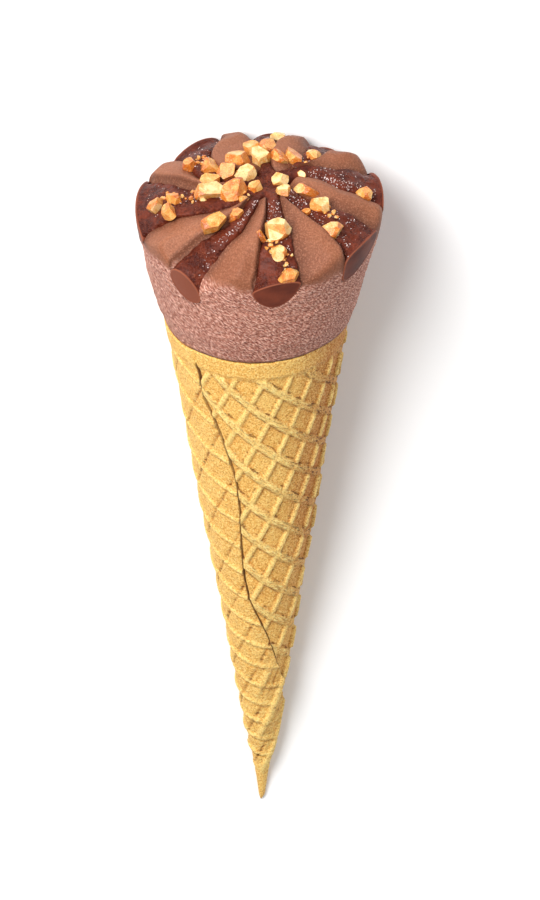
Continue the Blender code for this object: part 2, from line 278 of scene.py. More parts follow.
    # Painted highlight: rib tops, and the flat bands on the left, are coloured paler where they would catch
    # the light.
    rib = np.maximum(steep * (1 - flat), 0.75 * flat * (1 - 0.85 * turned)) * crisp_part + 0.9 * pressed_rib
    # Painted shade: dark lines along the feet of the ribs, mostly on the side turned from the light, and in
    # the pressed creases.
    foot = crisp_part * np.maximum(0.6 * ridge(np.abs(steep_away) - 0.95, 0.25) * (1 - flat),
                                   ridge(np.abs(flat_away) - 1.25, 0.3) * (1 - 0.8 * steep)
                                   * np.where(flat_away > 0, 1.0, 1.0 - 0.7 * turned))
    foot += 1.3 * pressed_part * creased
    # Painted shade: the batter is coloured darker and browner round to the right and higher up, the side
    # turned from the light.
    browned = smooth(azimuth + 6 * lumps(x, y, z, 9.0, 18), 14.0, 62.0)
    browned *= (1 - smooth(azimuth, 150.0, 220.0)) * (0.15 + 0.85 * smooth(height, 45.0, 100.0))
    fields = {"rib": rib,
              "foot": np.clip(foot, 0, 1),
              "crack": np.clip(crack * (0.5 + 0.7 * broken) + notch, 0, 1),
              "banded": crisp_part * flat * (1 - 0.6 * steep) + 0.35 * pressed_part}
    inside = np.zeros((len(inward), height.shape[1]))
    fields = {name: np.concatenate([values, inside]) for name, values in fields.items()}
    for name, values in (("browned", browned), ("along", along_rib), ("over", over_rib)):
        fields[name] = np.concatenate([values, inside + values[-1]])
    return round_skin("wafer_cone_skin", points, fields)


def linear(red, green, blue):
    """Linear colour from the 0 to 255 values a painter would mix."""
    def one(value):
        value /= 255.0
        return value / 12.92 if value <= 0.04045 else ((value + 0.055) / 1.055) ** 2.4
    return (one(red), one(green), one(blue), 1.0)


class Tone:
    """One value or colour in a finish; sums and products of tones add their own nodes."""

    def __init__(self, recipe, socket):
        self.recipe = recipe
        self.socket = socket

    def _math(self, operation, first, second):
        return self.recipe.node("ShaderNodeMath", {"operation": operation}, first, second)

    def __add__(self, other):
        return self._math("ADD", self, other)

    def __sub__(self, other):
        return self._math("SUBTRACT", self, other)

    def __rsub__(self, other):
        return self._math("SUBTRACT", other, self)

    def __mul__(self, other):
        return self._math("MULTIPLY", self, other)

    __radd__ = __add__
    __rmul__ = __mul__

    def clamp(self):
        return self.recipe.node("ShaderNodeClamp", {}, self)


class Recipe:
    """A finish in the making: a material whose nodes are added one call at a time."""

    def __init__(self, name):
        self.material = bpy.data.materials.new(name)
        self.material.use_nodes = True
        self.tree = self.material.node_tree
        self.shader = self.tree.nodes["Principled BSDF"]

    def node(self, kind, settings, *values, out=0, **named):
        """Any node, from its settings and its sockets' values or tones, in order or by name."""
        made = self.tree.nodes.new(kind)
        for key, value in settings.items():
            if key == "stops":
                ramp = made.color_ramp
                while len(ramp.elements) < len(value):
                    ramp.elements.new(1.0)
                for element, (place, colour) in zip(ramp.elements, value):
                    element.position = place
                    element.color = colour
            else:
                setattr(made, key, value)
        sockets = [s for s in made.inputs if s.enabled]
        pairs = list(zip(sockets, values))
        pairs += [(next(s for s in sockets if s.name == key.replace("_", " ")), value)
                  for key, value in named.items()]
        for socket, value in pairs:
            self.feed(socket, value)
        return Tone(self, [s for s in made.outputs if s.enabled][out])

    def feed(self, socket, value):
        if isinstance(value, Tone):
            self.tree.links.new(value.socket, socket)
        else:
            socket.default_value = value

    def field(self, name):
        """A value that the mesh carries at its points or faces."""
        return self.node("ShaderNodeAttribute", {"attribute_name": name}, out=2)

    def place(self):
        """Position on the object in millimetres."""
        here = self.node("ShaderNodeTexCoord", {}, out=3)
        return self.node("ShaderNodeVectorMath", {"operation": "SCALE"}, here, Scale=1.0 / MM)

    def noise(self, where, size, detail=2.0, roughness=0.5):
        return self.node("ShaderNodeTexNoise", {}, where, 1.0 / size, detail, roughness)

    def ramp(self, value, low, high):
        """0 to 1 as the value goes from low to high, which may be the lower of the two."""
        return self.node("ShaderNodeMapRange", {"clamp": True}, value, low, high, 0.0, 1.0)

    def mix(self, share, first, second):
        return self.node("ShaderNodeMix", {"data_type": "RGBA"}, share, first, second)

    def blotchy(self, field, first, second):
        """First colour where the field is low, the second where it is high."""
        return self.mix(self.ramp(field, 0.35, 0.65), linear(*first), linear(*second))

    def dab(self, colour, field, low, high, share, paint):
        """Colour with a share of paint over it where the field has gone from low to high."""
        return self.mix(self.ramp(field, low, high) * share, colour, linear(*paint))

    def bump(self, height, depth, strength=1.0):
        return self.node("ShaderNodeBump", {}, Strength=strength, Distance=depth * MM, Height=height)

    def wear(self, **sockets):
        """The finished material, with these values or tones on its shader."""
        for key, value in sockets.items():
            self.feed(self.shader.inputs[key.replace("_", " ")], value)
        return self.material


def baked_wafer():
    finish = Recipe("baked_wafer")
    here = finish.place()
    rib, foot, crack, banded, browned, along, over = (
        finish.field(name) for name in ("rib", "foot", "crack", "banded", "browned", "along", "over"))
    pulled = finish.node("ShaderNodeCombineXYZ", {}, along * 0.3, over, 0.0)
    streak = finish.noise(pulled, 0.42, 2.0, 0.6)
    dash = finish.noise(pulled, 0.75, 2.0, 0.5)
    patches = finish.noise(here, 14.0, 3.0, 0.6)
    mottle = finish.noise(here, 2.2, 3.0, 0.6)
    crumb = finish.noise(here, 0.42, 3.0, 0.7)
    batter = finish.blotchy(patches, (242, 190, 100), (234, 174, 82))
    batter = finish.dab(batter, mottle, 0.45, 0.75, 0.28, (214, 148, 62))
    # Painted shade: darker and browner round to the right, where the pale grain and streaks are also dimmed
    # and the dark dashes strengthened.
    batter = finish.mix(browned * 0.88, batter, linear(192, 112, 42))
    # Painted highlight: rib tops paler, a little more so within the painted shade on the right.
    batter = finish.mix(rib * (0.7 + browned * 0.15), batter, linear(255, 220, 132))
    batter = finish.dab(batter, crumb, 0.50, 0.64, 0.68 - browned * 0.15, (255, 232, 156))
    batter = finish.dab(batter, crumb, 0.49, 0.36, 0.62 + browned * 0.38, (156, 90, 34))
    batter = finish.dab(batter, streak, 0.54, 0.61, banded * (0.9 - browned * 0.8), (255, 230, 150))
    # Painted shade at the feet of the ribs and in the creases.
    batter = finish.dab(batter, mottle, 0.30, 0.60, foot * 0.7, (170, 100, 34))
    # Dark dashes along the flat bands, deepened by painted shade at the ribs' feet and round to the right.
    dashes_and_shade = (finish.ramp(dash, 0.45, 0.37) * (banded * 0.3 + foot * 0.9 + browned * banded * 0.7)).clamp()
    batter = finish.mix(dashes_and_shade * 0.9, batter, linear(104, 54, 16))
    batter = finish.mix(crack * 0.95, batter, linear(84, 40, 12))
    relief = crumb * 0.8 + mottle * 0.3 + streak * banded - dashes_and_shade
    return finish.wear(Base_Color=batter, Roughness=0.62 + crumb * 0.2 - rib * 0.08,
                       Normal=finish.bump(relief, 0.34), Subsurface_Weight=0.05, Specular_IOR_Level=0.3)


finish_piece("wafer_cone_skin", wafer_mesh(), baked_wafer(), "wafer_cone")

# --- The sauce strands' layout ----------------------------------------------
# Eight ribbons of thick chocolate sauce run from the middle of the crown to
# its edge, each in a trough between two petals of ice cream, so their layout
# comes before both. Each swings a little on its way out and ends on the wall.

# Degrees near the middle and at the wall, and the radii between which it swings.
STRAND_LINES = (
    (9.0, 8.0, 10, 25), (45.0, 58.0, 8, 29), (126.0, 102.0, 7, 19), (134.0, 144.5, 10, 26),
    (184.0, 174.5, 10, 25), (250.0, 212.5, 12, 26), (301.0, 267.0, 6, 29), (335.5, 321.0, 16, 29))
# The smooth end on the wall: degrees and height of both corners, how far it bulges up and down between,
# and the bulge's lean and fullness.
STRAND_ENDS = (
    (-4.0, -5.7, 19.5, -3.6, 1.9, 5.8, 1.0, 0.6), (43.5, -4.7, 72.0, -1.8, 3.7, 4.8, 0.52, 0.45),
    (89.0, -1.2, 117.0, -0.6, 2.6, 5.0, 1.0, 0.6), (136.0, -2.6, 153.5, -2.6, 1.8, 4.2, 1.0, 0.6),
    (165.0, -2.4, 184.0, -2.4, 2.4, 4.4, 1.0, 0.6), (199.0, -2.2, 225.5, -3.2, 3.0, 4.8, 0.7, 0.6),
    (245.0, -2.4, 288.5, -4.0, 2.8, 4.6, 1.0, 0.6), (312.5, -6.9, 329.6, -10.2, 4.6, 3.7, 1.0, 0.45))
STRANDS = len(STRAND_LINES)
# A strand's width at these distances from the middle, as a share of its end's.
WIDTH_RADII = (0, 6.5, 12.7, 18.7, 23, 26.8, 29)
WIDTH_SHARES = (0.22, 0.25, 0.34, 0.55, 0.69, 0.84, 1.0)
HUB_HALF_WIDTH = 1.9
# Where the strands meet, to the right and to the front of the axis.
HUB = (2.4, -1.5)
HEAD_RIM = 29.1
CREST_HEIGHT = 6.7
DIMPLE_DEPTH = 1.5
STRAND_SUNK = 1.3
STRAND_TILT = 0.6
STRAND_ROUNDING = 1.5
STRAND_THICKNESS = 3.6


def strand_middle(strand, radius):
    """Degrees round to a strand's middle line, that far out."""
    inner, outer, first, last = STRAND_LINES[strand]
    return inner + (outer - inner) * smooth(radius, first, last)


def strand_half(strand, radius):
    """Half a strand's width in mm, that far out."""
    left, _, right, *_ = STRAND_ENDS[strand]
    width = math.radians(right - left) * HEAD_RIM
    half = 0.5 * width * np.interp(radius, WIDTH_RADII, WIDTH_SHARES)
    return np.maximum(half, HUB_HALF_WIDTH * (1 - smooth(radius, 4.0, 9.0)))


def end_outline(strand, across):
    """Upper and lower edge of a strand's end at -1 to 1 across it."""
    _, left, _, right, up, down, lean, fullness = STRAND_ENDS[strand]
    share = np.clip((across + 1) / 2, 0, 1)
    chord = left + (right - left) * share
    bulge = np.clip(np.sin(math.pi * share ** lean), 0, 1) ** fullness
    return chord + up * bulge, chord - down * bulge


def crest(radius):
    """Height of the crown's dome above the ring."""
    return CREST_HEIGHT * (1 - (radius / 31.0) ** 3.6)


def ruffle(radius):
    """How fully the petals and strands are formed, from none at the middle to all further out."""
    return smooth(radius, 2.5, 12.0)


def ending(body, edge, radius):
    """A strand's height, as it goes over from its body's to its end's on its way to the wall."""
    return body + (edge - body) * smooth(radius, 20.0, 29.3) ** 1.5


def strand_top(strand, radius, across):
    """Height of a strand's surface above the ring at -1 to 1 across it."""
    dimple = DIMPLE_DEPTH * (1 - smooth(radius, 1.0, 8.0))
    away = np.clip(np.abs(across), 0, 1)
    rounding = (1 - np.sqrt(1 - 0.97 * away ** 2.4)) * STRAND_ROUNDING
    body = crest(radius) - STRAND_SUNK * ruffle(radius) - dimple
    body = body + STRAND_TILT * across * ruffle(radius) - rounding
    return ending(body, end_outline(strand, across)[0], radius)


def strand_underside(strand, radius, across):
    """Height of its underside, where it bulges down into the ice cream."""
    away = np.clip(np.abs(across), 0, 1)
    body = strand_top(strand, radius, across) - STRAND_THICKNESS * (1 - away ** 2) ** 0.35
    return ending(body, end_outline(strand, across)[1], radius)


def on_head(radius, azimuth, level):
    """Place on the head, from radius and azimuth about where the strands meet and height above the ring."""
    shift = (1 - np.clip(radius / 29.0, 0, 1)) * (level > -2.0)
    turn = np.radians(azimuth)
    right = radius * np.sin(turn) + HUB[0] * shift
    front = radius * np.cos(turn) + HUB[1] * shift
    return laid(RING_HEIGHT + level, np.hypot(right, front), np.degrees(np.arctan2(right, front)))


# --- The ice cream ----------------------------------------------------------
# Whipped chocolate ice cream, filled into the wafer and piped up into a
# flaring head, its wall wrinkled like frozen foam. The crown is smoothed into
# eight petals that overlap like a rose, each with a lip over the next strand.

WALL_HEIGHTS = (143.0, 150.0, 159.0, 167.0, 171.0, 173.2, 175.0)
WALL_RADII = (22.0, 23.9, 26.1, 27.95, 28.75, 29.05, 29.1)
RIM_LEVEL = 143.4 - RING_HEIGHT
# Above this level the wall's rows of points bend to follow the edge of the crown.
BENT_ROWS_FROM = -14.0
STRAND_COLUMNS = 11
PETAL_COLUMNS = 44
TROUGH_SHARE = 0.93
# How high each petal's lip stands over the next strand, and how much more its outer half rises.
LIP_HEIGHTS = (2.1, 0.2, 2.1, 2.1, 2.1, 2.1, 2.1, 2.1)
PETAL_RISES = (0.0, 0.0, 1.0, -0.8, -0.3, -1.4, 0.0, 0.0)
# How far in mm the painted shade reaches up each petal's low side, beside the strand that stands above it.
LOW_SIDE_SHADE_WIDTHS = np.array((3.6, 3.2, 2.0, 2.0, 2.0, 2.0, 2.2, 1.8))
LIP_RADIUS = 0.9
LIP_SLOPE = 5.5
LOW_SIDE_DROP = 1.1
PETAL_PROUD = 0.25
PETAL_DIMPLE = 2.4
FRONT_LEFT = 7


def wall_radius(level, azimuth):
    """Radius of the wall, which hangs over the wafer's rim on the right and sinks behind it on the left."""
    turn = np.radians(np.asarray(azimuth) - 30.0)
    height = level + RING_HEIGHT
    overhang = (0.35 * np.sin(turn) - 0.12) * (1 - smooth(height, WAFER_LENGTH, 152.0))
    return np.interp(height, WALL_HEIGHTS, WALL_RADII) + overhang + sway(height, azimuth)


def petal_top(radius, width, along, strand):
    """Height of a petal above the ring, at 0 to 1 along its width from its low side to its lip."""
    after = (strand + 1) % STRANDS
    low_side = strand_top(strand, radius, np.array(0.62)) - LOW_SIDE_DROP * ruffle(radius)
    lip_side = strand_top(after, radius, np.array(-0.62)) + LIP_HEIGHTS[strand] * ruffle(radius)
    outer = smooth(radius, 18.0, 26.0)
    middle = crest(radius) + PETAL_PROUD * ruffle(radius) + PETAL_RISES[strand] * outer
    low_side = min(low_side, middle - 0.4)
    lip_side = min(lip_side, middle)
    plump = min(1.0, along * (1 + 1.1 * outer * (2 <= strand <= 5)))
    slope = 0.3 * plump + 0.7 * plump * plump * (3 - 2 * plump)
    rising = low_side + (middle - low_side) * slope
    falling = lip_side + (middle - lip_side) * smooth((1 - along) * width, 0.0, LIP_SLOPE)
    from_lip = np.clip((1 - along) * width, 0, LIP_RADIUS)
    lip = LIP_RADIUS - np.sqrt(np.maximum(LIP_RADIUS ** 2 - (LIP_RADIUS - from_lip) ** 2, 0))
    level = np.minimum(rising, falling) - 0.3 * ridge(rising - falling, 0.8)
    return level - lip * np.clip(width / 3.0, 0.3, 1.0) - PETAL_DIMPLE * (1 - smooth(radius, 3.0, 7.5))


def head_columns():
    """For each column round the head: the strand before it, what it is on, and its place across that."""
    columns = []
    for strand in range(STRANDS):
        for k in range(STRAND_COLUMNS):
            columns.append((strand, "strand", TROUGH_SHARE * k / (STRAND_COLUMNS - 1)))
        for k in range(PETAL_COLUMNS):
            share = k / (PETAL_COLUMNS - 1)
            columns.append((strand, "petal", share - 0.085 * math.sin(2 * math.pi * share)))
        for k in range(STRAND_COLUMNS - 1):
            columns.append((strand, "next", TROUGH_SHARE * (1 - k / (STRAND_COLUMNS - 1))))
    return columns


def head_ring(radius, columns):
    """Azimuth, level and distance from the petal's low side of every column, that far from the middle."""
    azimuths = np.zeros(len(columns))
    tops = np.zeros(len(columns))
    inside = np.zeros(len(columns))

    def half_turn(strand):
        return math.degrees(math.asin(min(0.98, strand_half(strand, radius) / max(radius, 0.2))))

    for n, (strand, kind, share) in enumerate(columns):
        after = (strand + 1) % STRANDS
        middle = strand_middle(strand, radius)
        next_middle = strand_middle(after, radius) + (FULL_TURN if after == 0 else 0.0)
        gap = next_middle - middle
        half = half_turn(strand)
        next_half = half_turn(after)
        squeeze = min(1.0, 0.93 * gap / (half + next_half))
        half, next_half = half * squeeze, next_half * squeeze
        petal = gap - half - next_half
        if kind == "strand":
            azimuths[n] = middle + half * share
            tops[n] = strand_top(strand, radius, share) - 1.0
        elif kind == "next":
            azimuths[n] = next_middle - next_half * share
            tops[n] = strand_top(after, radius, -share) - 1.0
        else:
            azimuths[n] = middle + half + petal * share
            tops[n] = petal_top(radius, math.radians(petal) * radius, share, strand)
            inside[n] = math.radians(petal) * radius * min(share, 4 * (1 - share))
    return azimuths, tops, inside


def ice_cream_mesh():
    columns = head_columns()
    ones = np.ones(len(columns))
    rim_azimuths, rim_tops, rim_inside = head_ring(HEAD_RIM - 0.25, columns)
    # Each row of points has their radius, azimuth and level: inside the wafer, up the wall, over the crown.
    rows = [(ones * radius, rim_azimuths, ones * (height - RING_HEIGHT))
            for height, radius in ((139.0, 18.6), (143.1, 19.3), (143.28, 21.3))]
    levels = [ones * level for level in np.arange(RIM_LEVEL, BENT_ROWS_FROM, 0.42)]
    levels += [BENT_ROWS_FROM + (rim_tops - BENT_ROWS_FROM) * share for share in np.linspace(0, 1, 44)]
    rows += [(wall_radius(level, rim_azimuths), rim_azimuths, level) for level in levels]
    shoulder = len(rows)
    insides = [rim_inside] * shoulder
    inward = [np.linspace(HEAD_RIM - 0.5, 24, 14), np.linspace(23.5, 3, 44), [2.4, 1.8, 1.2, 0.6]]
    for radius in np.concatenate(inward):
        azimuths, tops, inside = head_ring(radius, columns)
        rows.append((ones * radius, azimuths, tops))
        insides.append(inside)
    radius, azimuth, level = (np.array([row[n] for row in rows]) for n in range(3))
    level = level + rim_rise(azimuth) * (1 - smooth(level, RIM_LEVEL, 152.0 - RING_HEIGHT))

    # Round the edge between wall and crown.
    first, last = shoulder - 14, shoulder + 10
    for _ in range(40):
        for values in (radius, level):
            around = values[first - 1:last - 1] + 2 * values[first:last] + values[first + 1:last + 1]
            values[first:last] = around / 4

    # The wall's wrinkles, which run slightly up to the right, and slow swells over all of it.
    x, y, z = (on_head(radius, azimuth, level) / MM).transpose(2, 0, 1)
    base = RIM_LEVEL - 0.05 + rim_rise(azimuth)
    outside = smooth(level, base, base + 0.85) * (radius > 21.5)
    wall = 1 - smooth(level + 1.2 * lumps(x, y, z, 4.0, 11), -6.2, -3.6)
    wall = np.where(np.arange(len(radius))[:, None] >= shoulder + 8, 0.0, wall)
    run = np.radians((azimuth + 180.0) % FULL_TURN - 180.0) * 27.0
    along_wrinkle = run * 0.80 - level * 0.60
    over_wrinkle = run * 0.60 + level * 0.80
    grain = 0.13 * lumps(along_wrinkle * 0.5, 0 * y, over_wrinkle, 0.62, 12)
    grain += 0.06 * lumps(run, 0 * y, level, 1.2, 13)
    swell = rough(x, y, z, ((0.16, 8.0, 14), (0.06, 3.0, 15)))
    radius = radius + outside * (wall * grain + swell * (radius > 26) + swell * (level < -6))
    level = level + (1 - wall) * outside * rough(x, y, z, ((0.13, 6.0, 16), (0.03, 1.4, 17)))

    # Room for the strands' ends, and the dark joint round each.
    in_rows = np.arange(len(radius))[:, None] < shoulder
    joint = np.zeros_like(radius)
    for strand, (left, _, right, *_) in enumerate(STRAND_ENDS):
        middle, half = (left + right) / 2, (right - left) / 2
        across = ((azimuth - middle + 180) % FULL_TURN - 180) / half
        upper, lower = end_outline(strand, across)
        covered = (np.abs(across) < 0.97) & (level > lower + 0.25) & in_rows & (level < upper + 1.0)
        radius = np.where(covered, radius - 1.0, radius)
        past = np.maximum(np.maximum(lower - level, 0), 8.0 * np.maximum(np.abs(across) - 0.97, 0))
        near = ridge(past, 0.45) * in_rows * (np.abs(across) < 1.2) * (level < upper + 0.5)
        joint = np.maximum(joint, near * (1.0 if strand == FRONT_LEFT else 0.45))
    # Painted shade on each petal's low side, fading over these widths.
    shade_reach = LOW_SIDE_SHADE_WIDTHS[[strand for strand, _, _ in columns]]
    return round_skin("ice_cream_head", on_head(radius, azimuth, level),
                      {"wall": wall * outside, "along": along_wrinkle, "over": over_wrinkle,
                       "low_side": ridge(np.array(insides), shade_reach), "joint": joint})


def chocolate_ice_cream():
    finish = Recipe("chocolate_ice_cream")
    here = finish.place()
    wall = finish.field("wall")
    cloud = finish.noise(here, 12.0, 2.0)
    foam = finish.noise(here, 0.55, 3.0, 0.6)
    along, over = finish.field("along"), finish.field("over")
    pulled = finish.node("ShaderNodeCombineXYZ", {}, along * 0.42, over, 0.0)
    wrinkle = finish.node("ShaderNodeTexNoise", {}, pulled, 1.0 / 0.40, 2.0, 0.55, Distortion=0.5)
    side = finish.blotchy(cloud, (180, 121, 101), (168, 110, 92))
    # Painted highlight and shade: the wrinkles' ridges are coloured paler and their hollows darker,
    # following the bump.
    side = finish.dab(side, wrinkle, 0.50, 0.64, 0.8, (236, 186, 168))
    side = finish.dab(side, wrinkle, 0.48, 0.34, 0.8, (106, 54, 42))
    fleck = finish.noise(here, 0.4, 2.0, 0.6)
    petal = finish.blotchy(cloud, (148, 92, 64), (134, 80, 55))
    # Painted shade: each petal's low side is coloured dark brown beside the strand standing above it.
    petal = finish.mix(finish.field("low_side") * 0.75, petal, linear(88, 48, 32))
    petal = finish.dab(petal, fleck, 0.52, 0.66, 0.35, (184, 124, 96))
    petal = finish.dab(petal, fleck, 0.48, 0.34, 0.40, (98, 54, 36))
    colour = finish.mix(wall, petal, side)
    colour = finish.dab(colour, wrinkle, 0.62, 0.45, finish.field("joint"), (58, 24, 18))
    relief = wrinkle * wall + foam * 0.10 + fleck * (1.0 - wall) * 0.22
    return finish.wear(Base_Color=colour, Roughness=0.5 + foam * 0.2 + wall * 0.1,
                       Normal=finish.bump(relief, 0.45), Subsurface_Weight=0.05,
                       Subsurface_Scale=MM, Specular_IOR_Level=0.25)


ice_cream = finish_piece("ice_cream_head", ice_cream_mesh(), chocolate_ice_cream(),
                         "ice_cream")

# --- The chocolate sauce ----------------------------------------------------
# The ribbons themselves: stiff dark chocolate sauce with a crust, glossy where
# it is fresh and frosted along its flanks.

SAUCE_GRAIN = 0.3
CRUST = ((0.30, 3.0, 31), (0.20, 1.15, 32), (0.07, 0.6, 33))


def bridge(bm, rows):
    """Faces between each closed row of points and the next."""
    for low, high in zip(rows, rows[1:]):
        for k in range(len(low)):
            after = (k + 1) % len(low)
            bm.faces.new((low[k], low[after], high[after], high[k]))


def set_down(bm, name):
    """The finished mesh of what was built up face by face."""
    mesh = bpy.data.meshes.new(name)
    bm.to_mesh(mesh)
    bm.free()
    return mesh


def sauce_mesh():
    bm = bmesh.new()
    over = 25
    there = np.cos(np.linspace(math.pi, 0, over))
    back = np.cos(np.linspace(0, math.pi, over))[1:-1]
    across = np.concatenate([there, back])
    upper = np.arange(len(across)) < over
    for strand in range(STRANDS):
        rows = []
        for radius in np.concatenate([[0.05], np.arange(0.5, 28.4, 0.4), [28.95]]):
            half = strand_half(strand, radius) + 0.25 * smooth(28.8 - radius, 0.0, 1.0)
            top, underside = (side(strand, radius, across) for side in (strand_top, strand_underside))
            level = np.where(upper, top, underside)
            reach = np.hypot(radius, across * half)
            turn = strand_middle(strand, radius) + np.degrees(np.arctan2(across * half, radius))
            wall = wall_radius(np.minimum(level, 0), turn) - 0.15
            out = np.where(radius > 28.5, wall, np.minimum(reach, wall))
            rows.append([bm.verts.new(p) for p in on_head(out, turn, level)])
        bridge(bm, rows)
        bm.faces.new(rows[0][::-1])
        bm.faces.new(rows[-1])
    bmesh.ops.recalc_face_normals(bm, faces=bm.faces)
    return set_down(bm, "sauce_strands")


def fused(mesh, grain):
    """The same shape as one skin without inner walls, in cells of the given size in mm."""
    loose = bpy.data.objects.new("fusing", mesh)
    bpy.context.scene.collection.objects.link(loose)
    remesh = loose.modifiers.new("fuse", "REMESH")
    remesh.mode = "VOXEL"
    remesh.voxel_size = grain * MM
    solid = bpy.data.meshes.new_from_object(loose.evaluated_get(bpy.context.evaluated_depsgraph_get()))
    bpy.data.objects.remove(loose)
    return solid


def roughen(mesh, layers, keep):
    """Push every point along its normal by layers of lumps, as fully as keep() says there."""
    count = len(mesh.vertices)
    points = np.empty(count * 3)
    normals = np.empty(count * 3)
    mesh.vertices.foreach_get("co", points)
    mesh.vertices.foreach_get("normal", normals)
    points = points.reshape(-1, 3)
    x, y, z = (points / MM).T
    push = keep(x, y, z) * rough(x, y, z, layers)
    points += normals.reshape(-1, 3) * (push * MM)[:, None]
    points[:, 2] = np.maximum(points[:, 2], 0.0)
    mesh.vertices.foreach_set("co", points.ravel())
    mesh.update()


def dark_chocolate():
    finish = Recipe("dark_chocolate")
    here = finish.place()
    skin = finish.noise(here, 3.4, 3.0, 0.6)
    grit = finish.noise(here, 0.55, 3.0, 0.6)
    crusted = finish.ramp(finish.noise(here, 4.5, 2.0), 0.44, 0.58)
    colour = finish.mix(finish.ramp(skin, 0.38, 0.62), linear(104, 44, 27), linear(72, 25, 15))
    colour = finish.dab(colour, grit, 0.58, 0.74, 0.20 + crusted * 0.35, (164, 92, 62))
    colour = finish.dab(colour, grit, 0.46, 0.32, 0.6, (34, 8, 4))
    return finish.wear(Base_Color=colour, Roughness=0.40 - crusted * 0.18 + grit * 0.08,
                       Normal=finish.bump(grit * (0.25 + crusted * 0.75), 0.6), Specular_IOR_Level=0.15)


def off_the_wall(x, y, z):
    """1 over the crown, 0 where a strand's end meets the wall."""
    along, up = y - POINT[1], z - POINT[2]
    front = up * math.cos(LYING_ANGLE) - along * math.sin(LYING_ANGLE)
    return 1 - smooth(np.hypot(x - POINT[0], front), 27.4, 28.6)


sauce_skin = fused(sauce_mesh(), SAUCE_GRAIN)
roughen(sauce_skin, CRUST, off_the_wall)
sauce = finish_piece("sauce_strands", sauce_skin, dark_chocolate(), "chocolate_sauce")

# --- The strands' smooth ends -----------------------------------------------
# Where a strand met the sleeve that the head was moulded in, its end set as a
# smooth satin face, flush with the wall and a little paler than the rest.

# From an end's hidden back over its rounded edge to its middle: share of its size, and mm off the wall.
END_RINGS = ((0.98, -0.9), (1.0, -0.3), (1.0, 0.06), (0.985, 0.14), (0.95, 0.16), (0.92, 0.13),
             (0.7, 0.15), (0.5, 0.16), (0.3, 0.16), (0.1, 0.16))


def strand_ends_mesh():
    bm = bmesh.new()
    rim = bm.verts.layers.float.new("rim")
    pale = bm.verts.layers.float.new("pale")
    turn = np.linspace(0, 2 * math.pi, 72, endpoint=False)
    across = -np.cos(turn)
    for strand, (left, _, right, *_) in enumerate(STRAND_ENDS):
        upper, lower = end_outline(strand, across)
        edge = np.where(turn <= math.pi, upper, lower)
        middle = (left + right) / 2
        middle_level = float(np.mean(end_outline(strand, np.array([0.0]))))
        rows = []
        for share, proud in END_RINGS:
            azimuth = middle + across * (right - left) / 2 * share
            level = middle_level + (edge - middle_level) * share
            row = [bm.verts.new(p) for p in on_head(wall_radius(level, azimuth) + proud, azimuth, level)]
            for vertex in row:
                # Painted highlight along each end's rounded rim.
                vertex[rim] = float(share > 0.93 and proud > 0)
                vertex[pale] = float(strand == FRONT_LEFT)
            rows.append(row)
        bridge(bm, rows)
        bm.faces.new(rows[-1])
    bmesh.ops.recalc_face_normals(bm, faces=bm.faces)
    return set_down(bm, "strand_ends")


def satin_chocolate():
    finish = Recipe("satin_chocolate")
    here = finish.place()
    cloud = finish.noise(here, 5.0, 2.0)
    fine = finish.noise(here, 0.3, 2.0)
    colour = finish.blotchy(cloud, (114, 56, 40), (88, 42, 32))
    colour = finish.mix(finish.field("pale") * 0.8, colour, linear(134, 74, 54))
    # Painted highlight: each end's rounded rim is coloured paler.
    colour = finish.mix(finish.field("rim") * 0.6, colour, linear(150, 86, 62))
    return finish.wear(Base_Color=colour, Roughness=0.42 + fine * 0.1, Normal=finish.bump(fine, 0.05, 0.6),
                       Specular_IOR_Level=0.08)


finish_piece("strand_ends", strand_ends_mesh(), satin_chocolate())

# --- The chopped nuts -------------------------------------------------------
# Roasted nuts, chopped and pressed into the sauce while it was soft. The cut
# faces are cream-coloured flesh with crisp edges; what is left of the round
# outside is roasted yellow to deep orange.

# How much larger a kernel is than the piece chopped from it.
KERNEL_SPARE = 1.3
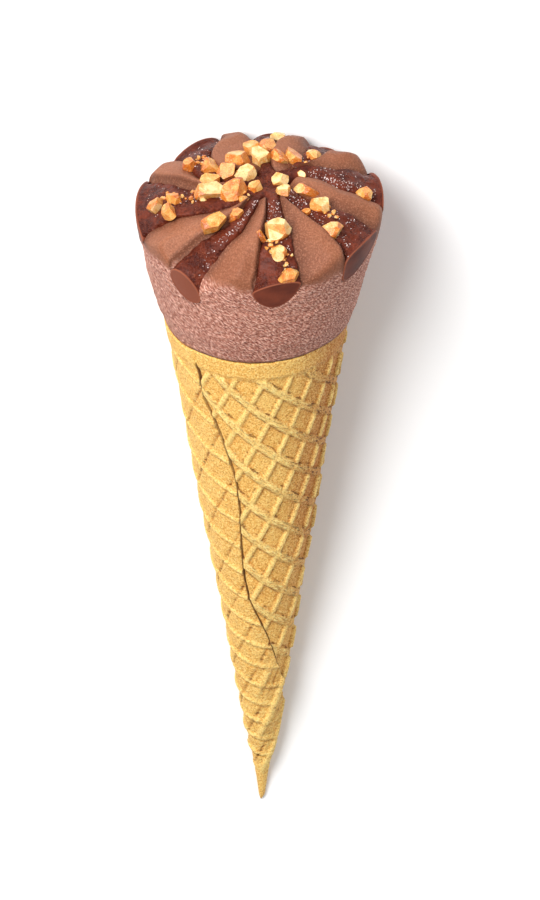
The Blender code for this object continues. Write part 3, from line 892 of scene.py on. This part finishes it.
# Degrees and mm from where the strands meet, length, width and thickness, heading in degrees, and roast.
NUTS = (
    (242, 19.5, 3.6, 3.2, 2.6, 60, 0.8), (243, 14.5, 5.0, 4.0, 3.0, 50, 0.5),
    (252, 10, 5.0, 4.0, 3.4, 120, 0.75), (220, 11, 6.0, 4.4, 3.0, 10, 0.35),
    (250, 6, 4.4, 3.4, 3.2, 50, 0.05), (269, 13, 4.6, 3.0, 2.4, 150, 0.6),
    (286, 13.5, 7.0, 5.0, 3.8, 150, 0.35), (302, 9.5, 7.0, 4.6, 3.8, 145, 0.8),
    (313, 4.5, 3.6, 2.6, 2.2, 170, 0.5), (322, 9, 2.6, 1.8, 1.6, 0, 0.1),
    (331, 14, 5.0, 2.6, 2.4, 80, 0.95), (324, 19.5, 7.2, 3.6, 3.0, 140, 0.4),
    (279, 25, 4.6, 3.6, 3.0, 130, 0.3), (282, 21.5, 4.0, 3.0, 2.4, 20, 0.6),
    (291, 23.5, 4.2, 3.4, 3.0, 60, 0.3), (192, 15.5, 4.6, 3.8, 3.2, 20, 0.5),
    (178, 15, 4.8, 3.8, 3.2, 150, 0.4), (191, 9.5, 5.4, 4.8, 3.6, 70, 0.1),
    (163, 9.5, 5.0, 2.6, 2.2, 30, 0.5), (150, 12.5, 4.8, 4.2, 3.0, 60, 0.55),
    (171, 23, 3.2, 2.6, 2.2, 160, 0.1), (137, 16.5, 3.4, 2.4, 2.0, 170, 0.2),
    (104, 2.5, 3.8, 3.4, 3.0, 100, 0.02), (39, 6, 3.6, 2.8, 2.2, 140, 0.15),
    (69, 9.5, 6.4, 3.0, 2.2, 20, 0.5), (114, 8.5, 2.2, 1.8, 1.6, 30, 0.15),
    (92, 24.0, 4.2, 2.8, 2.8, 10, 0.35), (55, 15.5, 5.0, 3.6, 3.0, 75, 0.4),
    (42, 14.5, 2.2, 1.8, 1.6, 90, 0.9), (46, 22.5, 5.6, 3.6, 3.0, 20, 0.35),
    (10, 18.5, 5.8, 5.0, 4.0, 100, 0.25), (358, 20, 3.4, 1.4, 1.2, 90, 0.8),
    (9, 23.3, 3.4, 3.2, 2.8, 60, 0.1), (14, 27.5, 5.4, 3.2, 2.6, 155, 0.4))


class Seat:
    """The top of the head, to set small things down on."""

    def __init__(self, *pieces):
        points, faces = [], []
        for piece in pieces:
            first = len(points)
            points += [vertex.co.copy() for vertex in piece.data.vertices]
            faces += [[first + n for n in face.vertices] for face in piece.data.polygons]
        self.tree = BVHTree.FromPolygons(points, faces)

    def find(self, radius, azimuth):
        """The first place met on the way down the axis from above the crown, and the normal there."""
        above = Vector(on_head(np.array(float(radius)), np.array(float(azimuth)), np.array(20.0)).tolist())
        spot, normal, _, _ = self.tree.ray_cast(above, -AXIS)
        return spot, normal


def chopped_nut(bm, length, width, thick, chance):
    """One nut piece about the origin: a rounded kernel chopped flat on top and on most sides."""
    kernel = bmesh.ops.create_icosphere(bm, subdivisions=3, radius=0.5)["verts"]
    size = Vector((length, width, thick)) * KERNEL_SPARE
    for vertex in kernel:
        vertex.co = Vector(vertex.co[n] * size[n] for n in range(3))
    cut = bm.faces.layers.int["cut"]
    sides = chance.choice((4, 5, 5, 6))
    start = chance.uniform(0, 2 * math.pi)
    # Each chop: how steeply it faces up, which way it faces, and how far out it is as a share of the size.
    chops = [(chance.uniform(1.15, 1.5), chance.uniform(0, 2 * math.pi), chance.uniform(0.26, 0.36))]
    chops += [(chance.uniform(-0.25, 0.45), start + (n + chance.uniform(-0.3, 0.3)) * 2 * math.pi / sides,
               chance.uniform(0.27, 0.38)) for n in range(sides)]
    chops.append((chance.uniform(0.5, 0.9), chance.uniform(0, 2 * math.pi), chance.uniform(0.33, 0.40)))
    for number, (tilt, turn, depth) in enumerate(chops):
        normal = Vector((math.cos(turn) * math.cos(tilt), math.sin(turn) * math.cos(tilt), math.sin(tilt)))
        middle = Vector(normal[k] * depth * size[k] for k in range(3))
        parts = [*bm.verts, *bm.edges, *bm.faces]
        flat = bmesh.ops.bisect_plane(bm, geom=parts, plane_co=middle, plane_no=normal, clear_outer=True)
        rim = [part for part in flat["geom_cut"] if isinstance(part, bmesh.types.BMEdge)]
        for face in bmesh.ops.contextual_create(bm, geom=rim)["faces"]:
            face[cut] = number + 1
    taper = chance.choice((-1, 1)) * chance.uniform(0.15, 0.55)
    skew = chance.uniform(-0.3, 0.3)
    for vertex in bm.verts:
        narrow = 1 - taper * vertex.co.x / length
        vertex.co.y = vertex.co.y * narrow + skew * vertex.co.x
        vertex.co.z = vertex.co.z * (0.4 + 0.6 * narrow)
    bmesh.ops.triangulate(bm, faces=bm.faces)
    crisp = [edge for edge in bm.edges if len(edge.link_faces) == 2 and edge.calc_face_angle() > 0.4]
    bmesh.ops.bevel(bm, geom=crisp, offset=min(0.07, thick * 0.04), segments=1, affect="EDGES",
                    clamp_overlap=True)


def nuts_mesh(name, seat, table, chance, sunk):
    """Nut pieces set down on the head one by one, each sunk in by a share of its thickness."""
    points, faces, roasts = [], [], []
    for azimuth, radius, length, width, thick, heading, roast in table:
        bm = bmesh.new()
        bm.faces.layers.int.new("cut")
        chopped_nut(bm, length, width, thick, chance)
        spot, normal = seat.find(radius, azimuth)
        lean = (normal + AXIS * 0.7).normalized()
        away = Vector((math.cos(math.radians(heading)), -math.sin(math.radians(heading)), 0))
        first = (away - lean * away.dot(lean)).normalized()
        lying = Matrix((first, lean.cross(first), lean)).transposed()
        rock = Euler((chance.uniform(-0.35, 0.35), chance.uniform(-0.35, 0.35), 0)).to_matrix()
        tones = [chance.uniform(-0.2, 0.24) for _ in range(10)]
        base = len(points)
        middle = spot + lean * (thick * (0.5 - sunk) * MM)
        bm.verts.index_update()
        for vertex in bm.verts:
            points.append(middle + (lying @ (rock @ vertex.co)) * MM)
        cut = bm.faces.layers.int["cut"]
        for face in bm.faces:
            faces.append([base + vertex.index for vertex in face.verts])
            roasts.append(roast * 0.5 + 0.15 + tones[face[cut]] if face[cut] else 0.45 + 0.55 * roast)
        bm.free()
    mesh = bpy.data.meshes.new(name)
    mesh.from_pydata(points, [], faces)
    mesh.attributes.new("roast", "FLOAT", "FACE").data.foreach_set("value", roasts)
    return mesh


def roasted_nut():
    finish = Recipe("roasted_nut")
    here = finish.place()
    roast = finish.field("roast")
    patch = finish.noise(here, 1.6, 2.0)
    fibre = finish.noise(here, 0.35, 2.0, 0.6)
    depth = (roast + (patch - 0.5)).clamp()
    colour = finish.node("ShaderNodeValToRGB", {"stops": (
        (0.0, linear(240, 206, 146)), (0.3, linear(222, 160, 80)), (0.6, linear(202, 112, 34)),
        (1.0, linear(148, 62, 14)))}, depth)
    colour = finish.dab(colour, fibre, 0.55, 0.75, 0.4, (252, 230, 186))
    colour = finish.dab(colour, fibre, 0.45, 0.28, 0.5, (150, 78, 26))
    return finish.wear(Base_Color=colour, Roughness=0.20 + fibre * 0.25,
                       Normal=finish.bump(fibre, 0.16, 0.8), Subsurface_Weight=0.12, Subsurface_Scale=MM)


head_top = Seat(ice_cream, sauce)
chopping = random.Random(7)
nut_finish = roasted_nut()
nuts = finish_piece("chopped_nuts", nuts_mesh("chopped_nuts", head_top, NUTS, chopping, 0.24), nut_finish)
nuts.data.shade_flat()

# --- The nut crumbs ---------------------------------------------------------
# The smallest bits off the chopping board, stuck in the sauce in loose drifts
# between the larger pieces.

# Degrees and mm from where the strands meet, how far the drift spreads, and half its number of crumbs.
DRIFTS = ((285, 17, 2.5, 6), (275, 22, 2.0, 4), (5, 21.5, 1.5, 5), (13, 25.5, 1.6, 5), (58, 19, 2.0, 4),
          (97, 9, 2.0, 3), (142, 14, 3.0, 5), (165, 21, 2.5, 3), (185, 12.5, 3.5, 6), (236, 17, 3.0, 7),
          (305, 6, 2.0, 4), (250, 9, 3.0, 5))


def on_a_strand(radius, turn):
    """Whether a place is on the sauce, clear of the strands' edges."""
    for strand in range(STRANDS):
        beside = (turn - float(strand_middle(strand, radius)) + 180) % FULL_TURN - 180
        if abs(math.radians(beside) * radius / float(strand_half(strand, radius))) < 0.85:
            return True
    return False


def scattered(chance):
    """Crumbs in their drifts, laid out as the nuts are, without those that would miss the sauce."""
    kept = []
    for azimuth, radius, spread, count in DRIFTS:
        for _ in range(2 * count):
            out = max(1.5, radius + chance.uniform(-spread, spread))
            turn = azimuth + math.degrees(chance.uniform(-spread, spread) / out)
            length = chance.uniform(0.6, 1.5)
            if not on_a_strand(out, turn):
                continue
            kept.append((turn, min(out, 27.5), length, length * chance.uniform(0.5, 0.9),
                         length * chance.uniform(0.4, 0.7), chance.uniform(0, 180),
                         chance.uniform(0.0, 0.8)))
    return kept


crumbs = finish_piece("nut_crumbs", nuts_mesh("nut_crumbs", head_top, scattered(chopping), chopping, 0.2),
                      nut_finish)
crumbs.data.shade_flat()

# --- The frost and painted glints -------------------------------------------
# Ice crystals that have grown on the cold sauce, thickest along the flanks of the
# strands and where the sauce is rough; their pale colour also stands in for the
# sauce's glints, a painted highlight.

# Strand, from and to this far out in mm, from and to this place across it, and how many crystals.
FROSTED_AND_GLINTING = ((7, 8, 27, 0.35, 0.95, 110), (0, 8, 17, -0.8, 0.8, 70), (1, 5, 13, -0.7, 0.7, 40),
           (1, 17, 28, -0.9, -0.5, 40), (1, 15, 27, -0.6, 0.8, 60), (2, 11, 27, -0.95, -0.2, 120),
           (2, 12, 24, -0.3, 0.8, 30), (3, 8, 26, -0.8, 0.8, 24), (4, 8, 27, -0.8, 0.8, 20),
           (5, 10, 27, -0.8, 0.8, 40), (6, 8, 27, -0.8, 0.8, 40), (0, 18, 28, 0.3, 0.95, 30))
# The six corners of a crystal: four round its middle, and both tips.
CRYSTAL = ((1, 0, 0), (0, 1, 0), (-1, 0, 0), (0, -1, 0), (0, 0, 1), (0, 0, -1))


def frost_and_glints_mesh(seat):
    chance = random.Random(11)
    bm = bmesh.new()
    for strand, near, far, left, right, count in FROSTED_AND_GLINTING:
        for _ in range(count):
            radius = chance.uniform(near, far)
            across = chance.uniform(left, right) * float(strand_half(strand, radius))
            turn = float(strand_middle(strand, radius)) + math.degrees(math.atan2(across, radius))
            spot, normal = seat.find(math.hypot(radius, across), turn)
            if spot is None:
                continue
            size = chance.uniform(0.10, 0.26) * MM
            turned = Euler([chance.uniform(0, 6.3) for _ in range(3)]).to_matrix()
            middle = spot + normal * size * 0.2
            corners = [bm.verts.new(middle + turned @ (Vector(way) * size * chance.uniform(0.6, 1.0)))
                       for way in CRYSTAL]
            for k in range(4):
                bm.faces.new((corners[k], corners[(k + 1) % 4], corners[4]))
                bm.faces.new((corners[(k + 1) % 4], corners[k], corners[5]))
    return set_down(bm, "frost_and_glints")


def ice_and_glint():
    finish = Recipe("ice_and_glint")
    tint = finish.noise(finish.place(), 1.5, 2.0)
    # Pale crystal colour: frost, and a painted highlight standing in for the sauce's glints.
    colour = finish.mix(finish.ramp(tint, 0.4, 0.6), linear(226, 208, 204), linear(168, 132, 122))
    return finish.wear(Base_Color=colour, Roughness=0.12 + tint * 0.2, Specular_IOR_Level=0.5)


frost_and_glints = finish_piece("frost_and_glints", frost_and_glints_mesh(Seat(sauce)), ice_and_glint())
frost_and_glints.data.shade_flat()

# --- Table and studio -------------------------------------------------------
# A plain pale table, a large soft light over the left shoulder, and a weak
# fill. The camera looks down on the lying cone from beyond its head, turned so
# that the head is at the top.

bpy.ops.mesh.primitive_plane_add(size=4.0, location=(0, 0, -0.00005))
table = bpy.context.object
table.name = "table"
paper = Recipe("pale_table")
table.data.materials.append(paper.wear(Base_Color=(0.93, 0.93, 0.93, 1.0), Roughness=0.9))

LOOK_DOWN = math.radians(36.0)
CAMERA_DISTANCE = 5.0
SENSOR = 36.0
VIEW_HEIGHT = 213.6245 * MM
toward = Vector((0, math.sin(LOOK_DOWN - LYING_ANGLE), math.cos(LOOK_DOWN - LYING_ANGLE)))
upward = Vector((0, toward.z, -toward.y))
sideward = Vector((1, 0, 0))
aim = Vector(laid(np.array(102.7), np.array(2.26), np.array(90.0)).tolist()) + upward * 0.6 * MM
camera_data = bpy.data.cameras.new("camera")
camera = bpy.data.objects.new("camera", camera_data)
bpy.context.scene.collection.objects.link(camera)
camera.matrix_world = Matrix.Translation(aim + toward * CAMERA_DISTANCE) @ Matrix(
    (sideward, upward, toward)).transposed().to_4x4()
camera_data.sensor_width = SENSOR
camera_data.lens = SENSOR * CAMERA_DISTANCE / VIEW_HEIGHT
camera_data.clip_end = 20.0
bpy.context.scene.camera = camera


def soft_light(name, direction, away, size, power):
    """A round lamp aimed at the cone, from a direction given as right, up and toward the camera."""
    lamp = bpy.data.lights.new(name, "AREA")
    lamp.shape = "DISK"
    lamp.size = size
    lamp.energy = power
    made = bpy.data.objects.new(name, lamp)
    bpy.context.scene.collection.objects.link(made)
    spot = sideward * direction[0] + upward * direction[1] + toward * direction[2]
    made.location = aim + spot.normalized() * away
    made.rotation_euler = (-spot).to_track_quat("-Z", "Y").to_euler()


soft_light("key", (-0.36, 0.22, 0.90), 0.9, 0.5, 10.8)
soft_light("fill", (0.5, -0.5, 0.7), 1.1, 0.8, 2.0)
bpy.context.scene.view_settings.view_transform = "Standard"
world = bpy.data.worlds.new("studio")
bpy.context.scene.world = world
world.use_nodes = True
sky = world.node_tree.nodes["Background"]
sky.inputs["Color"].default_value = (1, 1, 1, 1)
sky.inputs["Strength"].default_value = 0.42
